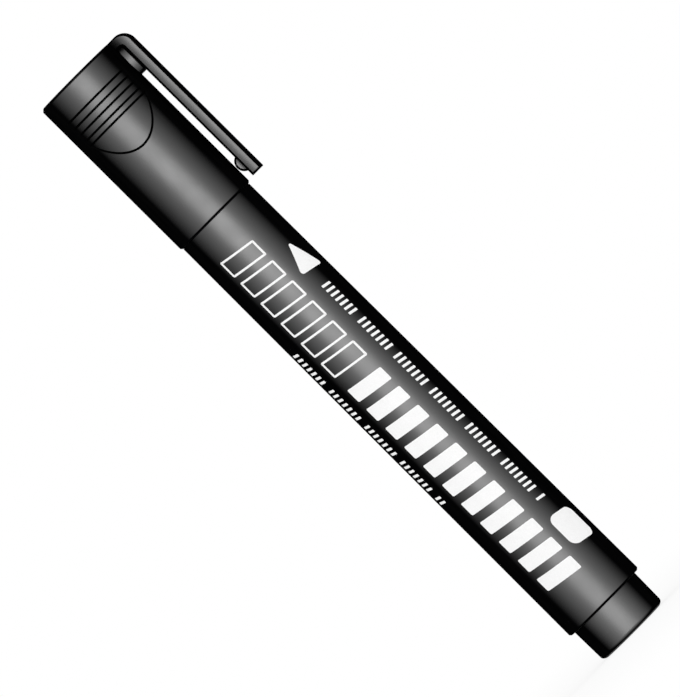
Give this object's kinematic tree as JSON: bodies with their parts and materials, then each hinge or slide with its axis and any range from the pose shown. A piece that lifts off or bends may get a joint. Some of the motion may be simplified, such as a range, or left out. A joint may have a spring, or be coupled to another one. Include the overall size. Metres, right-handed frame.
{
  "type": "permanent marker",
  "caption": "Round permanent marker: tapered barrel with a conical fibre nib fed from an ink core, a press-fit tail plug, and a pull-off cap with a sprung pocket clip.",
  "frame": {"origin": "centre of the flat end face of the tail plug, on which the marker stands", "axes": "+Z along the marker's axis from tail plug to cap, +X towards the pocket clip, +Y to complete the frame"},
  "size_m": [0.0207, 0.017, 0.138],
  "materials": {
    "barrel_plastic": "satin",
    "plug_plastic": "satin",
    "holder_plastic": "satin",
    "cap_plastic": "satin",
    "inner_cap_plastic": "satin",
    "nib_fibre": "matte",
    "core_fibre": "matte",
    "film": "gloss",
    "white_print": "matte"
  },
  "bodies": {
    "marker_body": {"barrel": "barrel_plastic", "tail_plug": "plug_plastic", "nib_holder": "holder_plastic", "nib": "nib_fibre", "ink_core": "core_fibre", "core_film": "film"},
    "cap": {"cap_shell": "cap_plastic", "inner_cap": "inner_cap_plastic"},
    "clip": {"clip_arm": "cap_plastic"}
  },
  "joints": [
    {"name": "cap_pull", "type": "slide", "parent": "marker_body", "child": "cap", "axis": [0, 0, 1], "range_m": [0, 0.045]},
    {"name": "clip_flex", "type": "hinge", "parent": "cap", "child": "clip", "pos_m": [0.01099, 0, 0.12995], "axis": [0, -1, 0], "range_deg": [0, 6], "stiffness_Nm_per_rad": 1}
  ]
}
